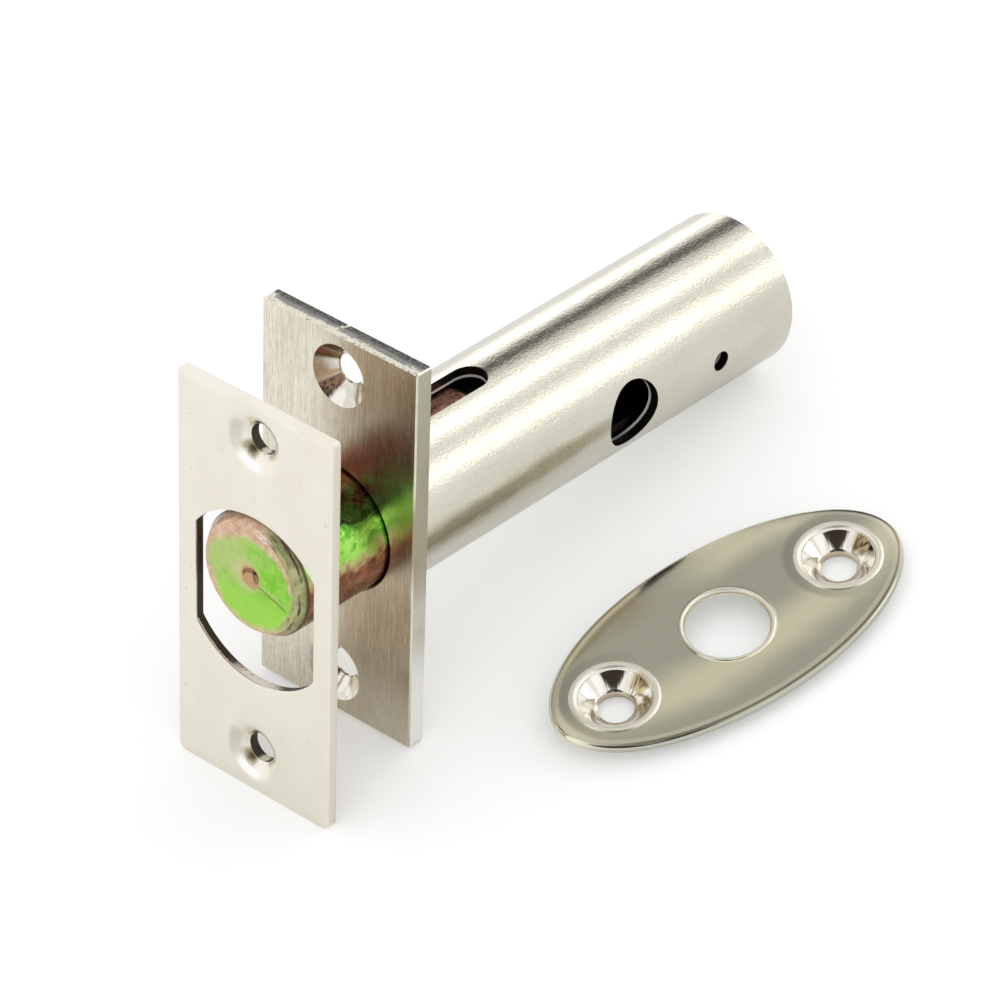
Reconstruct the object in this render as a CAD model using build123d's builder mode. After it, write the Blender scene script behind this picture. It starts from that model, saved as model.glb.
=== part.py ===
from build123d import *
import os
from math import atan, cos, hypot, radians, sin, sqrt

os.makedirs("parts", exist_ok=True)

# Mortice rack bolt with its strike plate and key escutcheon, in millimetres.
# X runs across the faceplate, Y back along the tube and Z up the faceplate.
# The origin is the middle of the faceplate's back, on the bolt's axis. The bolt is thrown.

# Faceplate
faceplate_width = 19.2
faceplate_height = 42.0
faceplate_thickness = 1.9
faceplate_screw_edge = 4.4  # from the plate's end to the screw's centre
faceplate_screw_hole = 3.0
faceplate_sink_dia = 6.4
faceplate_bolt_gap = 0.18
faceplate_corner = 0.35

# Tube
tube_wall = 1.2
tube_length = 55.6
tube_bolt_gap = 0.35
key_setback = 31.5
key_hole_dia = 7.0
small_hole_behind_key = 13.0
small_hole_dia = 2.1
slot_width = 3.7
slot_rear = 18.1

# Rear plug
plug_thickness = 3.0
plug_inset = 0.4
press_bite = 0.01

# Bolt
bolt_dia = 12.9
throw = 11.55
nose_chamfer = 0.7  # across the bolt's end
nose_chamfer_length = 1.05
nub_dia = 1.7
nub_height = 0.15

# Rack, cut into the bolt's tail below the key
key_dia = 6.2
key_root_dia = 3.9
rack_step_gap = 1.15
rack_tail = 3.1
rack_pitch = 3.0
rack_tooth_height = 1.3
rack_tooth_tip = 0.9
rack_root_gap = 0.15
tail_side_gap = 0.1

# Guide peg in the bolt, and the friction spring under it
peg_dia = 3.4
peg_depth = 4.0
peg_below_tube = 0.3
peg_end_gap = 0.15
spring_length = 10.0
spring_width = 2.6
spring_thickness = 0.4
spring_groove_depth = 1.1
spring_running_gap = 0.05
spring_seat_gap = 0.02

# Strike plate, hung over the bolt's nose
strike_width = 19.2
strike_height = 43.2
strike_thickness = 1.0
strike_aside = 0.45
strike_hole_gap = 2.8
strike_flat_gap = 1.0
strike_hang_gap = 0.3
strike_screw_edge = 4.2
strike_screw_hole = 3.1
strike_dimple_dia = 6.0
strike_dimple_depth = 1.15
strike_dimple_wall = 0.75
strike_corner = 0.6
strike_edge_break = 0.1

# Escutcheon, lying beside the tube on the table that the loose bolt leans on
escutcheon_length = 40.0
escutcheon_width = 19.8
escutcheon_sheet = 0.65
escutcheon_rim = 0.8
escutcheon_edge_radius = 0.5
escutcheon_hole = 8.4
escutcheon_screw_edge = 6.5
escutcheon_screw_hole = 3.5
escutcheon_dimple_dia = 7.7
escutcheon_dimple_depth = 2.05
lip_height = 0.2
lip_width = 0.5
escutcheon_across = 25.8
escutcheon_up_table = 26.2
escutcheon_turn = 77.5
escutcheon_tip = 4.3

# Broken edges
edge_break = 0.15

# What the sizes above give
bolt_radius = bolt_dia / 2
bore_radius = bolt_radius + tube_bolt_gap
tube_radius = bore_radius + tube_wall
nose_end = -faceplate_thickness - throw
faceplate_screw_spacing = faceplate_height - 2 * faceplate_screw_edge
strike_screw_spacing = strike_height - 2 * strike_screw_edge
escutcheon_screw_spacing = escutcheon_length - 2 * escutcheon_screw_edge


def across(y):
    """Plane across the bolt's axis at y, facing the front."""
    return Plane.XZ.offset(-y)


def pressed_dimple(ring_dia, hole_dia, depth, wall, sheet, lip):
    """Screw dimple pressed into a sheet whose front is at z = 0, about the Z axis."""
    ring = ring_dia / 2
    hole = hole_dia / 2
    slope = (ring - hole) / depth
    mouth = lip - depth
    wall_shift = wall * hypot(1, slope)
    under_sheet = hole + (-sheet - mouth) * slope + wall_shift
    under_foot = hole - wall * slope + wall_shift
    flange = max(ring + lip_width, under_sheet) + wall / 2
    with BuildPart() as dimple:
        with BuildSketch(Plane.XZ) as section:
            with BuildLine():
                Polyline(
                    (flange, 0),
                    (ring + lip_width, 0),
                    (ring, lip),
                    (hole, mouth),
                    (hole, mouth - wall),
                    (under_foot, mouth - wall),
                    (under_sheet, -sheet),
                    (flange, -sheet),
                    close=True,
                )
            make_face()
            crest = section.vertices().sort_by_distance((ring, 0, lip))[0]
            fillet(crest, lip_width / 2)
        revolve(axis=Axis.Z)
    return dimple.part, flange, under_foot


# Flat brushed plate with the bolt's hole between two countersunk screw holes
with BuildPart() as faceplate:
    with BuildSketch(across(0)):
        RectangleRounded(faceplate_width, faceplate_height, faceplate_corner)
        Circle(bolt_radius + faceplate_bolt_gap, mode=Mode.SUBTRACT)
    extrude(amount=faceplate_thickness)
    front_face = faceplate.faces().sort_by(Axis.Y)[0]
    chamfer(front_face.edges(), edge_break)
    with Locations(across(-faceplate_thickness)):
        with GridLocations(0, faceplate_screw_spacing, 1, 2):
            CounterSinkHole(faceplate_screw_hole / 2, faceplate_sink_dia / 2, counter_sink_angle=90)
faceplate.part.label = "faceplate"
export_step(faceplate.part, "parts/faceplate.step")

# Tube, butted against the faceplate, with the peg's slot on top and the key's hole in its side
peg_reach = peg_dia / 2 + peg_end_gap
slot_length = throw + 2 * peg_reach
slot_front = slot_rear - slot_length
with BuildPart() as case_tube:
    with BuildSketch(across(tube_length)):
        Circle(tube_radius)
        Circle(bore_radius, mode=Mode.SUBTRACT)
    extrude(amount=tube_length)
    rear_edges = case_tube.edges().filter_by(GeomType.CIRCLE).group_by(Axis.Y)[-1]
    chamfer(rear_edges, edge_break)
    with BuildSketch(Plane.XY):
        with Locations((0, slot_rear - slot_length / 2)):
            SlotOverall(slot_length, slot_width, rotation=90)
    extrude(amount=tube_radius, mode=Mode.SUBTRACT)
    with BuildSketch(Plane.YZ):
        with Locations((key_setback, 0)):
            Circle(key_hole_dia / 2)
        with Locations((key_setback + small_hole_behind_key, 0)):
            Circle(small_hole_dia / 2)
    extrude(amount=tube_radius, mode=Mode.SUBTRACT)
case_tube.part.label = "case_tube"
export_step(case_tube.part, "parts/case_tube.step")

# Disc pressed into the tube's rear end
with BuildPart() as rear_plug:
    with BuildSketch(across(tube_length - plug_inset)):
        Circle(bore_radius + press_bite)
    extrude(amount=plug_thickness)
    chamfer(rear_plug.edges(), edge_break)
rear_plug.part.label = "rear_plug"
export_step(rear_plug.part, "parts/rear_plug.step")

# Bolt: round nose, then a tail milled down to a rack that the key's splines drive
rack_tip = -key_root_dia / 2 - rack_root_gap
step_end = key_setback - throw - key_dia / 2 - rack_step_gap
tail_end = key_setback + key_dia / 2 + rack_tail
rack_length = tail_end - step_end
rack_middle = step_end + rack_length / 2
gap_count = int((rack_length - rack_tooth_tip) / rack_pitch)
gap_top = rack_pitch - rack_tooth_tip
gap_foot = gap_top / 2
tail_half_width = sqrt(bore_radius**2 - (key_hole_dia / 2) ** 2) - tail_side_gap
peg_y = slot_front + peg_reach
spring_y = peg_y
groove_floor = -bolt_radius + spring_groove_depth
with BuildPart() as bolt:
    with BuildSketch(across(tail_end)):
        Circle(bolt_radius)
    extrude(amount=tail_end - nose_end)
    nose = bolt.faces().sort_by(Axis.Y)[0]
    chamfer(nose.edges(), nose_chamfer, nose_chamfer_length, reference=nose)
    with BuildSketch(across(nose_end)):
        Circle(nub_dia / 2)
    extrude(amount=nub_height)
    with BuildSketch(Plane.XY.offset(rack_tip)):
        with Locations((0, step_end)):
            Rectangle(bolt_dia, rack_length, align=(Align.CENTER, Align.MIN))
    extrude(amount=bolt_dia, mode=Mode.SUBTRACT)
    with BuildSketch(Plane.XY.offset(-bolt_radius)):
        with Locations((-tail_half_width, step_end)):
            Rectangle(bolt_dia, rack_length, align=(Align.MAX, Align.MIN))
        with Locations((tail_half_width, step_end)):
            Rectangle(bolt_dia, rack_length, align=(Align.MIN, Align.MIN))
    extrude(amount=bolt_dia, mode=Mode.SUBTRACT)
    with BuildSketch(Plane.YZ) as rack_gaps:
        with Locations((rack_middle, rack_tip)):
            with GridLocations(rack_pitch, 0, gap_count, 1):
                with BuildLine():
                    Polyline(
                        (-gap_top / 2, 0),
                        (-gap_foot / 2, -rack_tooth_height),
                        (gap_foot / 2, -rack_tooth_height),
                        (gap_top / 2, 0),
                        close=True,
                    )
                make_face()
    extrude(amount=bolt_radius, both=True, mode=Mode.SUBTRACT)
    with BuildSketch(Plane.XY.offset(bolt_radius)):
        with Locations((0, peg_y)):
            Circle(peg_dia / 2 - press_bite)
    extrude(amount=-peg_depth, mode=Mode.SUBTRACT)
    with BuildSketch(Plane.XY.offset(-bolt_radius)):
        with Locations((0, spring_y)):
            SlotOverall(spring_length + 2 * spring_width, spring_width + 2 * spring_seat_gap, rotation=90)
    extrude(amount=spring_groove_depth, mode=Mode.SUBTRACT)
bolt.part.label = "bolt"
export_step(bolt.part, "parts/bolt.step")

# Peg pressed into the bolt, which rides in the tube's slot
peg_height = tube_radius - peg_below_tube - bolt_radius + peg_depth
with BuildPart() as guide_peg:
    with BuildSketch(Plane.XY.offset(bolt_radius - peg_depth)):
        with Locations((0, peg_y)):
            Circle(peg_dia / 2)
    extrude(amount=peg_height)
    chamfer(guide_peg.edges().sort_by(Axis.Z)[-1], edge_break)
guide_peg.part.label = "guide_peg"
export_step(guide_peg.part, "parts/guide_peg.step")

# Bowed strip in the groove under the bolt, bearing on the tube
spring_seat = groove_floor - spring_seat_gap
spring_crown = -sqrt(bore_radius**2 - (spring_width / 2) ** 2) + spring_running_gap
spring_half = spring_length / 2
with BuildPart() as friction_spring:
    with BuildSketch(Plane.YZ):
        with BuildLine():
            inner = ThreePointArc(
                (spring_y - spring_half, spring_seat),
                (spring_y, spring_crown + spring_thickness),
                (spring_y + spring_half, spring_seat),
            )
            outer = ThreePointArc(
                (spring_y - spring_half, spring_seat - spring_thickness),
                (spring_y, spring_crown),
                (spring_y + spring_half, spring_seat - spring_thickness),
            )
            Line(inner @ 0, outer @ 0)
            Line(inner @ 1, outer @ 1)
        make_face()
    extrude(amount=spring_width / 2, both=True)
friction_spring.part.label = "friction_spring"
export_step(friction_spring.part, "parts/friction_spring.step")

# Pressed plate whose flatted hole takes the bolt's nose
strike_hole_radius = bolt_radius + strike_hole_gap
strike_flat = bolt_radius + strike_flat_gap
strike_middle = bolt_radius + strike_hang_gap - strike_hole_radius
strike_front = Plane(origin=(strike_aside, nose_end, strike_middle), x_dir=(1, 0, 0), z_dir=(0, -1, 0))
strike_dimple, strike_flange, strike_foot = pressed_dimple(
    strike_dimple_dia,
    strike_screw_hole,
    strike_dimple_depth,
    strike_dimple_wall,
    strike_thickness,
    0.0,
)
with BuildPart() as strike_plate:
    with BuildSketch(strike_front):
        RectangleRounded(strike_width, strike_height, strike_corner)
        with BuildSketch(mode=Mode.SUBTRACT):
            Circle(strike_hole_radius)
            Rectangle(2 * strike_flat, 2 * strike_hole_radius, mode=Mode.INTERSECT)
        with GridLocations(0, strike_screw_spacing, 1, 2):
            Circle(strike_flange, mode=Mode.SUBTRACT)
    extrude(amount=-strike_thickness)
    outline = strike_plate.faces().sort_by(Axis.Y)[0].outer_wire()
    chamfer(outline.edges(), strike_edge_break)
    with Locations(strike_front):
        with GridLocations(0, strike_screw_spacing, 1, 2):
            add(strike_dimple)
strike_plate.part.label = "strike_plate"
export_step(strike_plate.part, "parts/strike_plate.step")

# Oval plate with a turned-down rim, made lying flat with its top at z = 0
escutcheon_dimple, escutcheon_flange, escutcheon_foot = pressed_dimple(
    escutcheon_dimple_dia,
    escutcheon_screw_hole,
    escutcheon_dimple_depth,
    escutcheon_sheet,
    escutcheon_sheet,
    lip_height,
)
hole_radius = escutcheon_hole / 2
with BuildPart() as flat_escutcheon:
    with BuildSketch(Plane.XY.offset(-escutcheon_rim)):
        Ellipse(escutcheon_length / 2, escutcheon_width / 2)
    extrude(amount=escutcheon_rim)
    fillet(flat_escutcheon.edges().sort_by(Axis.Z)[-1], escutcheon_edge_radius)
    offset(amount=-escutcheon_sheet, openings=flat_escutcheon.faces().sort_by(Axis.Z)[0])
    with BuildSketch(Plane.XY):
        Circle(hole_radius + lip_width)
    extrude(amount=lip_height, taper=45)
    with BuildSketch(Plane.XY.offset(-escutcheon_rim)):
        Circle(hole_radius)
        with GridLocations(escutcheon_screw_spacing, 0, 2, 1):
            Circle(escutcheon_flange)
    extrude(amount=escutcheon_rim + lip_height, mode=Mode.SUBTRACT)
    with GridLocations(escutcheon_screw_spacing, 0, 2, 1):
        add(escutcheon_dimple)

# It stands on its two dimples, tipped about its length onto one side of their feet, on the table
# that the loose bolt leans on: that table touches the faceplate's lower rear edge and the tube's
# rear bottom
table_tilt = atan((faceplate_height / 2 - tube_radius) / tube_length)
table = Plane(
    origin=(0, 0, -faceplate_height / 2),
    x_dir=(1, 0, 0),
    z_dir=(0, -sin(table_tilt), cos(table_tilt)),
)
dimple_foot = escutcheon_dimple_depth - lip_height + escutcheon_sheet
tip = radians(escutcheon_tip)
seat = dimple_foot * cos(tip) + escutcheon_foot * sin(tip)
along_oval = table.x_dir.rotate(Axis((0, 0, 0), table.z_dir), escutcheon_turn)
escutcheon_top = Plane(
    origin=table.from_local_coords((escutcheon_across, escutcheon_up_table, seat)),
    x_dir=along_oval,
    z_dir=table.z_dir.rotate(Axis((0, 0, 0), along_oval), escutcheon_tip),
)
with BuildPart() as escutcheon:
    with Locations(escutcheon_top):
        add(flat_escutcheon.part)
escutcheon.part.label = "escutcheon"
export_step(escutcheon.part, "parts/escutcheon.step")
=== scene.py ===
# %% [markdown]
# A mortice rack bolt, photographed as it is sold
#
# The set has a thrown round bolt in a plated tube with a brushed faceplate, a thin strike plate
# hung over the bolt's nose, and an oval escutcheon for the key. The solids come from the packed
# frame at their real size and place. This file gives them their finishes, rebuilds the two
# pressed plates as smooth sheets, and sets up the table, the light and the camera.

# %% Load the frame
from math import asin, atan2, cos, hypot, pi, radians, sin

import bpy
import bmesh
from mathutils import Matrix, Vector
from mathutils.geometry import delaunay_2d_cdt


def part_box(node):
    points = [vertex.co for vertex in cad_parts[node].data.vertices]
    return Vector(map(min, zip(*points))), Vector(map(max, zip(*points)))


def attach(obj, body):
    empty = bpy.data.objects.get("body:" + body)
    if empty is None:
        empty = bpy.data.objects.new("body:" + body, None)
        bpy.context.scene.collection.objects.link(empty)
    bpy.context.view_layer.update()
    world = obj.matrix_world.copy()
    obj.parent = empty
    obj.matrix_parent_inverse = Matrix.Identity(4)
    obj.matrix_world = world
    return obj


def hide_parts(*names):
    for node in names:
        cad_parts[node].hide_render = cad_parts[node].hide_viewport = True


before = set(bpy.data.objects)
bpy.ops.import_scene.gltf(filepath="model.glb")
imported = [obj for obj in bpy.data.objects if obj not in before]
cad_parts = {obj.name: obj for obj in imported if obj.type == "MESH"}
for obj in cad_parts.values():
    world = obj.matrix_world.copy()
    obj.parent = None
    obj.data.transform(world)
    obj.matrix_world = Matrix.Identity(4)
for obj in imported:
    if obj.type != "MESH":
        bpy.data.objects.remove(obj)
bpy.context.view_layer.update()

MM = 0.001

# %% [markdown]
# The camera stands where the photographer stood: a long lens, looking down at the loose set from
# the front right. Azimuth 0 looks along +Y. The roll is the small turn that levels the plates.

# %% Camera
scene = bpy.context.scene
scene.view_settings.view_transform = "Standard"

CAMERA_AIM = Vector((-1.27, 22.91, -10.06)) * MM
CAMERA_DISTANCE = 553.6 * MM
CAMERA_AZIMUTH = radians(40.38)
CAMERA_ELEVATION = radians(34.46)
CAMERA_ROLL = radians(1.93)
CAMERA_LENS = 206.0

to_camera = Vector((
    sin(CAMERA_AZIMUTH) * cos(CAMERA_ELEVATION),
    -cos(CAMERA_AZIMUTH) * cos(CAMERA_ELEVATION),
    sin(CAMERA_ELEVATION),
))
level_right = Vector((cos(CAMERA_AZIMUTH), sin(CAMERA_AZIMUTH), 0))
level_up = to_camera.cross(level_right)
camera_right = level_right * cos(CAMERA_ROLL) + level_up * sin(CAMERA_ROLL)
camera_up = level_up * cos(CAMERA_ROLL) - level_right * sin(CAMERA_ROLL)

camera_data = bpy.data.cameras.new("camera")
camera_data.lens = CAMERA_LENS
camera_data.clip_start = 0.01
camera_data.clip_end = 20
camera = bpy.data.objects.new("camera", camera_data)
scene.collection.objects.link(camera)
axes = Matrix((camera_right, camera_up, to_camera)).transposed()
camera.matrix_world = Matrix.Translation(CAMERA_AIM + to_camera * CAMERA_DISTANCE) @ axes.to_4x4()
scene.camera = camera
print("camera at", [round(v, 4) for v in camera.location])

# %% [markdown]
# A node tree is easier to read as a sum than as a net. `Wire` wraps one output socket, and
# Python's operators on it add Math nodes. `Nodes` adds every other node: its settings first, then
# the values or wires of its sockets. Both serve the shaders and the Geometry Nodes trees.

# %% Node maths as expressions
class Wire:
    """An output socket that can be added, multiplied and compared like a number."""

    def __init__(self, nodes, socket):
        self.nodes = nodes
        self.socket = socket

    def math(self, operation, *values, clamp=False):
        settings = {"operation": operation, "use_clamp": clamp}
        return self.nodes.add("ShaderNodeMath", settings, dict(enumerate(values)))

    def __add__(self, other):
        return self.math("ADD", self, other)

    def __radd__(self, other):
        return self.math("ADD", other, self)

    def __sub__(self, other):
        return self.math("SUBTRACT", self, other)

    def __rsub__(self, other):
        return self.math("SUBTRACT", other, self)

    def __mul__(self, other):
        return self.math("MULTIPLY", self, other)

    def __rmul__(self, other):
        return self.math("MULTIPLY", other, self)

    def __truediv__(self, other):
        return self.math("DIVIDE", self, other)

    def __pow__(self, other):
        return self.math("POWER", self, other)

    def __abs__(self):
        return self.math("ABSOLUTE", self)

    def clamp(self):
        return self.math("ADD", self, 0.0, clamp=True)

    def exp(self):
        return self.math("EXPONENT", self)

    def step(self, low, high):
        """0 below low, 1 above high, smooth between; high may be the smaller."""
        settings = {"interpolation_type": "SMOOTHSTEP"}
        if high > low:
            return self.nodes.add("ShaderNodeMapRange", settings, {0: self, 1: low, 2: high})
        return 1 - self.nodes.add("ShaderNodeMapRange", settings, {0: self, 1: high, 2: low})

    def twin(self, name):
        """Another output of the same node."""
        return Wire(self.nodes, self.socket.node.outputs[name])


class Nodes:
    """Adds nodes to one tree."""

    def __init__(self, tree):
        self.tree = tree
        tree.nodes.clear()

    def feed(self, socket, value):
        if isinstance(value, Wire):
            self.tree.links.new(value.socket, socket)
        elif socket.type == "RGBA" and len(value) == 3:
            socket.default_value = (*value, 1.0)
        else:
            socket.default_value = value

    def add(self, kind, settings=None, sockets=None, out=0):
        made = self.tree.nodes.new(kind)
        for name, value in (settings or {}).items():
            setattr(made, name, value)
        for name, value in (sockets or {}).items():
            self.feed(made.inputs[name], value)
        return Wire(self, made.outputs[out]) if len(made.outputs) else made

    def mix(self, low, high, share):
        """Colour low where share is 0 and high where it is 1."""
        return self.add("ShaderNodeMix", {"data_type": "RGBA"}, {0: share, 6: low, 7: high}, out=2)

    def xyz(self, vector):
        split = self.add("ShaderNodeSeparateXYZ", None, {0: vector})
        return [split, split.twin("Y"), split.twin("Z")]

    def dot(self, vector, other):
        settings = {"operation": "DOT_PRODUCT"}
        return self.add("ShaderNodeVectorMath", settings, {0: vector, 1: other}, out="Value")

    def place(self):
        """Object coordinates, in metres."""
        return self.add("ShaderNodeTexCoord", out="Object")

    def normal(self):
        return self.add("ShaderNodeNewGeometry", out="Normal")

    def noise(self, grain, detail=2.0, roughness=0.5):
        """Noise whose features measure about grain mm along X, Y and Z."""
        scale = [1 / (g * MM) for g in grain]
        stretched = self.add("ShaderNodeMapping", None, {"Vector": self.place(), "Scale": scale})
        return self.noise_at(stretched, detail, roughness)

    def noise_at(self, vector, detail=2.0, roughness=0.5):
        sockets = {"Vector": vector, "Scale": 1.0, "Detail": detail, "Roughness": roughness}
        return self.add("ShaderNodeTexNoise", None, sockets)

    def degrees_round(self, up, across):
        """Angle in degrees whose tangent is up / across."""
        return self.add("ShaderNodeMath", {"operation": "ARCTAN2"}, {0: up, 1: across}) * (180 / pi)


def new_material(name):
    material = bpy.data.materials.new(name)
    material.use_nodes = True
    return material, Nodes(material.node_tree)


def finish_metal(nodes, colour, roughness, height=None, depth=0.0, metallic=1.0):
    """Metal with a bump of the given depth in mm, wired to the output."""
    sockets = {"Base Color": colour, "Metallic": metallic, "Roughness": roughness}
    if height is not None:
        sockets["Normal"] = nodes.add(
            "ShaderNodeBump", None, {"Strength": 1.0, "Distance": depth * MM, "Height": height}
        )
    shader = nodes.add("ShaderNodeBsdfPrincipled", None, sockets)
    nodes.add("ShaderNodeOutputMaterial", None, {"Surface": shader})


def dress(obj, material):
    """Gives an object this one material."""
    obj.data.materials.clear()
    obj.data.materials.append(material)


# %% [markdown]
# The faceplate is sheared from nickel-plated strip that was brushed up and down. Noise stretched
# twentyfold along Z gives the brush lines, in the colour and in the bump, so that they also draw
# out what the plate reflects. The countersinks were cut after the brushing, so they are smooth.
# The sheared edge is rough and darker, with scars where the shear tore it.

# %% Brushed nickel for the faceplate
SINK_AT = 16.6
PLATE_THICKNESS = 1.9
brushed, n = new_material("brushed_nickel")
px, py, pz = n.xyz(n.place())
nx, ny, nz = n.xyz(n.normal())
lines = n.noise((0.24, 0.24, 5.0), detail=4.0, roughness=0.65)
fine_lines = n.noise((0.08, 0.08, 1.4), detail=2.0)
speck = n.noise((0.3, 0.3, 0.6), detail=3.0, roughness=0.7)
cloud = n.noise((5.0, 5.0, 9.0), detail=2.0)
tone = (lines * 0.5 + fine_lines * 0.3 + speck * 0.2).step(0.36, 0.64)
body = n.mix((0.66, 0.57, 0.44), (0.98, 0.945, 0.83), tone * 0.8 + cloud.step(0.35, 0.65) * 0.2)
over_sink = pz / MM - SINK_AT
sink_radius = (px * px + (abs(pz) - SINK_AT * MM) ** 2.0) ** 0.5 / MM
in_sink = sink_radius.step(3.26, 3.18) * abs(ny).step(0.92, 0.85)
smear = n.noise((1.3, 1.3, 1.3), detail=2.0)
cone = n.mix((0.72, 0.68, 0.58), (0.90, 0.87, 0.80), smear.step(0.38, 0.62))
in_hole = sink_radius.step(1.56, 1.51)
cone = n.mix(cone, (0.42, 0.36, 0.28), in_hole)
# Painted reflection: a dark brown and copper patch at the lower left of each countersink, where the
# cone mirrors the dark behind the camera. The metal is less metallic there.
sink_turn = n.degrees_round(over_sink, px / MM)
sink_painted_reflection = abs(sink_turn + 128 + (speck - 0.5) * 20).step(20, 11) * in_sink
sink_reflection_mottle = (speck - sink_radius * 0.13).step(0.05, 0.32)
cone = n.mix(cone, n.mix((0.10, 0.05, 0.03), (0.62, 0.40, 0.28), sink_reflection_mottle), sink_painted_reflection)

# %% Sheared edge of the faceplate
on_end = abs(nz).step(0.8, 0.95) * sink_radius.step(3.6, 3.8)
tear = n.noise((0.38, 0.26, 0.38), detail=4.0, roughness=0.7)
along = n.noise((2.6, 0.5, 2.6), detail=3.0, roughness=0.6)
from_front = (py / MM + PLATE_THICKNESS) + (tear - 0.5) * 0.9
fracture = (from_front + (along - 0.5) * 1.2).step(0.85, 1.45)
sheared = n.mix((0.42, 0.41, 0.385), (0.10, 0.11, 0.10), fracture)
sheared = n.mix(sheared, (0.32, 0.33, 0.31), tear.step(0.48, 0.60) * 0.85)
ragged = (from_front + (along - 0.5) * 1.0).step(0.70, 0.45)
nick = abs(px / MM + 0.4 - py / MM * 0.4 + (tear - 0.5) * 0.9).step(0.26, 0.12)
nick = nick * tear.step(0.42, 0.5)
worn_corner = (px / MM + (tear - 0.5)).step(-8.5, -9.0) * from_front.step(1.5, 1.0)
bright_burr = (ragged + nick + worn_corner).clamp()
sheared = n.mix(sheared, (0.97, 0.94, 0.87), bright_burr)

# %% Painted shade on the faceplate
# Painted shade: a dark brown patch on the front, to the right of the bolt, which dims what the plate
# mirrors there.
right_painted_shade = (px / MM + (lines - 0.5) * 3).step(5.8, 8.4)
right_painted_shade = right_painted_shade * abs(pz / MM - 2.5 + (cloud - 0.5) * 5).step(6.5, 2)
body = n.mix(body, (0.29, 0.22, 0.11), right_painted_shade * 0.75)
# Painted shade: the front is darker towards its lower end, right of the middle.
low_painted_shade = (pz / MM * -1 + (lines - 0.5) * 4).step(9, 16) * (px / MM).step(-6, 1)
body = n.mix(body, (0.50, 0.44, 0.31), low_painted_shade * 0.5)
# Painted light and shade: the side that faces +X is painted pale low down and darker higher up.
on_side = nx.step(0.8, 0.95)
higher = (pz / MM + (lines - 0.5) * 4).step(-7, 1)
body = n.mix(body, n.mix((0.97, 0.95, 0.90), (0.50, 0.47, 0.39), higher), on_side)
colour = n.mix(n.mix(body, cone, in_sink), sheared, on_end)
roughness = 0.20 + lines * 0.12 + on_end * (0.22 + bright_burr * 0.15) - in_sink * 0.10
brushing = (lines * 0.5 + fine_lines * 0.2 + speck * 0.3) * (1 - in_sink)
bump = brushing + tear * on_end * 4 + speck * in_sink * 0.15
finish_metal(n, colour, roughness, bump, 0.011, metallic=1 - sink_painted_reflection * 0.7)
dress(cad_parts["faceplate"], brushed)

# %% [markdown]
# The tube is drawn steel with a semi-gloss nickel plate. What makes it look like metal is its
# grain: tiny pits and drawn lines along Y break up the edges of each long reflection. Inside, the
# tube is painted dark, and so are the walls of its holes: painted shade. Their inner rims carry a
# painted highlight, a pale line that is less metallic. A painted reflection darkens the side that
# faces +X, near the faceplate.

# %% Drawn and plated tube
drawn, n = new_material("plated_tube")
px, py, pz = n.xyz(n.place())
nx, ny, nz = n.xyz(n.normal())
radius = (px * px + pz * pz) ** 0.5
outwards = (px * nx + pz * nz) / radius
radius = radius / MM
way = py / MM
grain = n.noise((0.23, 0.36, 0.23), detail=3.0, roughness=0.65)
swell = n.noise((0.9, 2.4, 0.9), detail=2.0)
cloud = n.noise((4.0, 9.0, 4.0), detail=2.0)
pale = cloud.step(0.35, 0.65) * 0.4 + grain.step(0.3, 0.7) * 0.6
skin = n.mix((0.65, 0.62, 0.52), (0.74, 0.71, 0.615), pale)
tube_turn = n.degrees_round(pz, px)
# Painted reflection: a brown band along the side that faces +X, near the faceplate.
tube_painted_reflection = abs(tube_turn + 1 - way * 0.2 + (swell - 0.5) * 6).step(10, 2) * way.step(36, 22)
skin = n.mix(skin, (0.36, 0.31, 0.23), tube_painted_reflection * 0.8)
# Painted shade: the walls of the holes are near black. Painted highlight: a pale, less metallic line
# along their inner rims.
on_cut = (1 - abs(outwards).step(0.35, 0.75)) * way.step(55.0, 54.8)
hole_rim_painted_highlight = radius.step(7.14, 7.02) * on_cut
cut = n.mix((0.065, 0.060, 0.035), (0.86, 0.84, 0.77), hole_rim_painted_highlight)
# Painted shade: the inside of the tube is near black.
inside = outwards.step(-0.6, -0.8) * way.step(52.6, 52.4)
colour = n.mix(skin, cut, on_cut)
colour = n.mix(colour, (0.055, 0.050, 0.040), inside)
roughness = 0.05 + grain * 0.13 + inside * 0.3 + on_cut * 0.25
rim_metallic = 1 - hole_rim_painted_highlight * 0.85
finish_metal(n, colour, roughness, grain + swell * 0.8, 0.028, metallic=rim_metallic)
for node in ("case_tube", "rear_plug"):
    dress(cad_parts[node], drawn)

# %% [markdown]
# The bolt is zinc plated and passivated. The passivate film is thin, so it shows interference
# colours: bright green where it is even, copper and pink where it runs thin towards the edges,
# and olive with dark scratches on the chamfer. The top of its side is painted dark and the rack's
# end, inside the tube, near black: both are painted shade. A painted highlight sits near the rim
# of its end.

# %% Passivated bolt
passivated, n = new_material("passivated_steel")
px, py, pz = n.xyz(n.place())
nx, ny, nz = n.xyz(n.normal())
radius = (px * px + pz * pz) ** 0.5 / MM
width = px / MM
way = py / MM
height = pz / MM
blotch = n.noise((2.6, 2.6, 2.6), detail=2.0, roughness=0.5)
mottle = n.noise((1.1, 1.5, 1.1), detail=3.0, roughness=0.6)
speck = n.noise((0.4, 0.4, 0.4), detail=3.0, roughness=0.65)
to_top_left = (height - width) * 0.7
upper = (height / 5.5).clamp() * 1.7
rim = (radius + (blotch - 0.5) * 1.8 + (mottle - 0.5) * 1.4 + upper).step(4.75, 5.95)
green = n.mix((0.24, 0.60, 0.05), (0.36, 0.72, 0.10), mottle.step(0.35, 0.65))
lower = (height + (mottle - 0.5) * 3).step(-1.0, -3.0)
green = n.mix(green, (0.40, 0.76, 0.11), lower * 0.8)
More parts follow.
